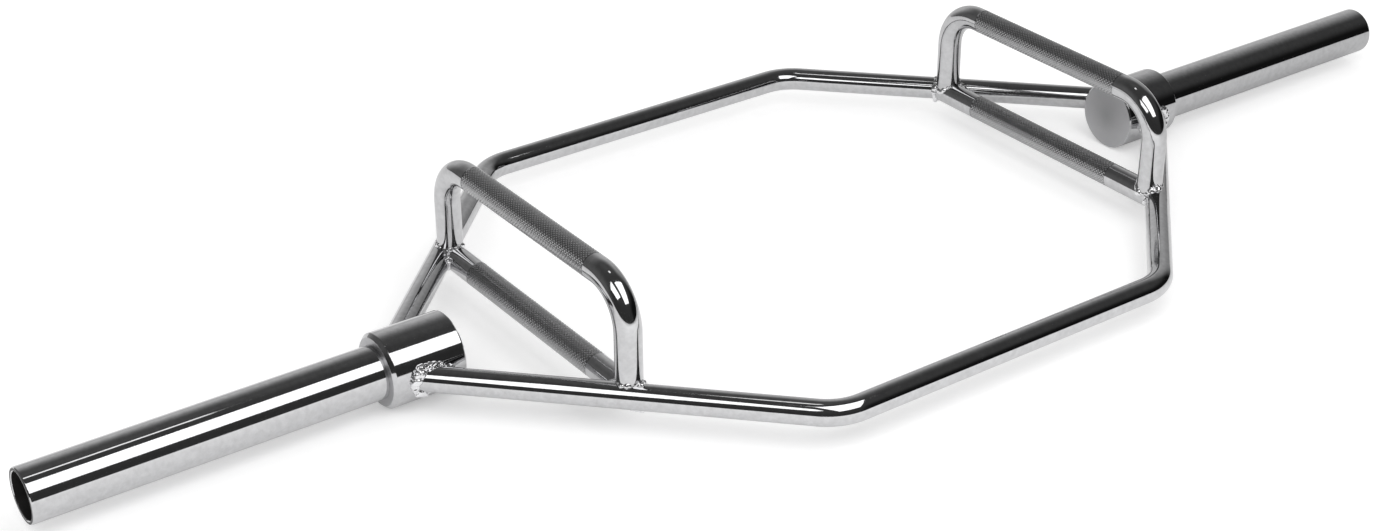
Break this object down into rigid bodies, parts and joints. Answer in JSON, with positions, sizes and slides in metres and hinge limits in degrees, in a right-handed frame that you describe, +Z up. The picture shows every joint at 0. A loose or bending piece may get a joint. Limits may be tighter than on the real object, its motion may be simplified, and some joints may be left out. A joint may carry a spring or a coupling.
{
  "type": "hex trap bar",
  "caption": "Chrome-plated steel hex trap bar: a welded hexagonal frame the lifter stands inside, with low and raised knurled handles and hollow plate sleeves at its ends.",
  "frame": {"origin": "bottom centre of the bounding box: midway between the sleeves' ends and under the hubs' lowest line", "axes": "+X along the sleeves to the right, +Y to the rear, +Z up towards the raised handles"},
  "size_m": [1.6, 0.604, 0.145],
  "materials": {
    "frame_chrome": "polished chrome plate",
    "hub_chrome": "polished barrel, satin turned end faces",
    "sleeve_chrome": "polished outside, dull dark bore",
    "grip_chrome": "diamond knurl along the grip, polished bends and legs",
    "weld_chrome": "plated over a lumpy weld bead"
  },
  "bodies": {
    "root": {"front_frame_bar": "frame_chrome", "rear_frame_bar": "frame_chrome", "left_hub": "hub_chrome", "left_sleeve": "sleeve_chrome", "left_low_handle": "grip_chrome", "left_raised_handle": "grip_chrome", "right_hub": "hub_chrome", "right_sleeve": "sleeve_chrome", "right_low_handle": "grip_chrome", "right_raised_handle": "grip_chrome", "left_front_hub_weld": "weld_chrome", "left_front_grip_weld": "weld_chrome", "left_front_leg_weld": "weld_chrome", "left_rear_hub_weld": "weld_chrome", "left_rear_grip_weld": "weld_chrome", "left_rear_leg_weld": "weld_chrome", "right_front_hub_weld": "weld_chrome", "right_front_grip_weld": "weld_chrome", "right_front_leg_weld": "weld_chrome", "right_rear_hub_weld": "weld_chrome", "right_rear_grip_weld": "weld_chrome", "right_rear_leg_weld": "weld_chrome"}
  },
  "joints": []
}
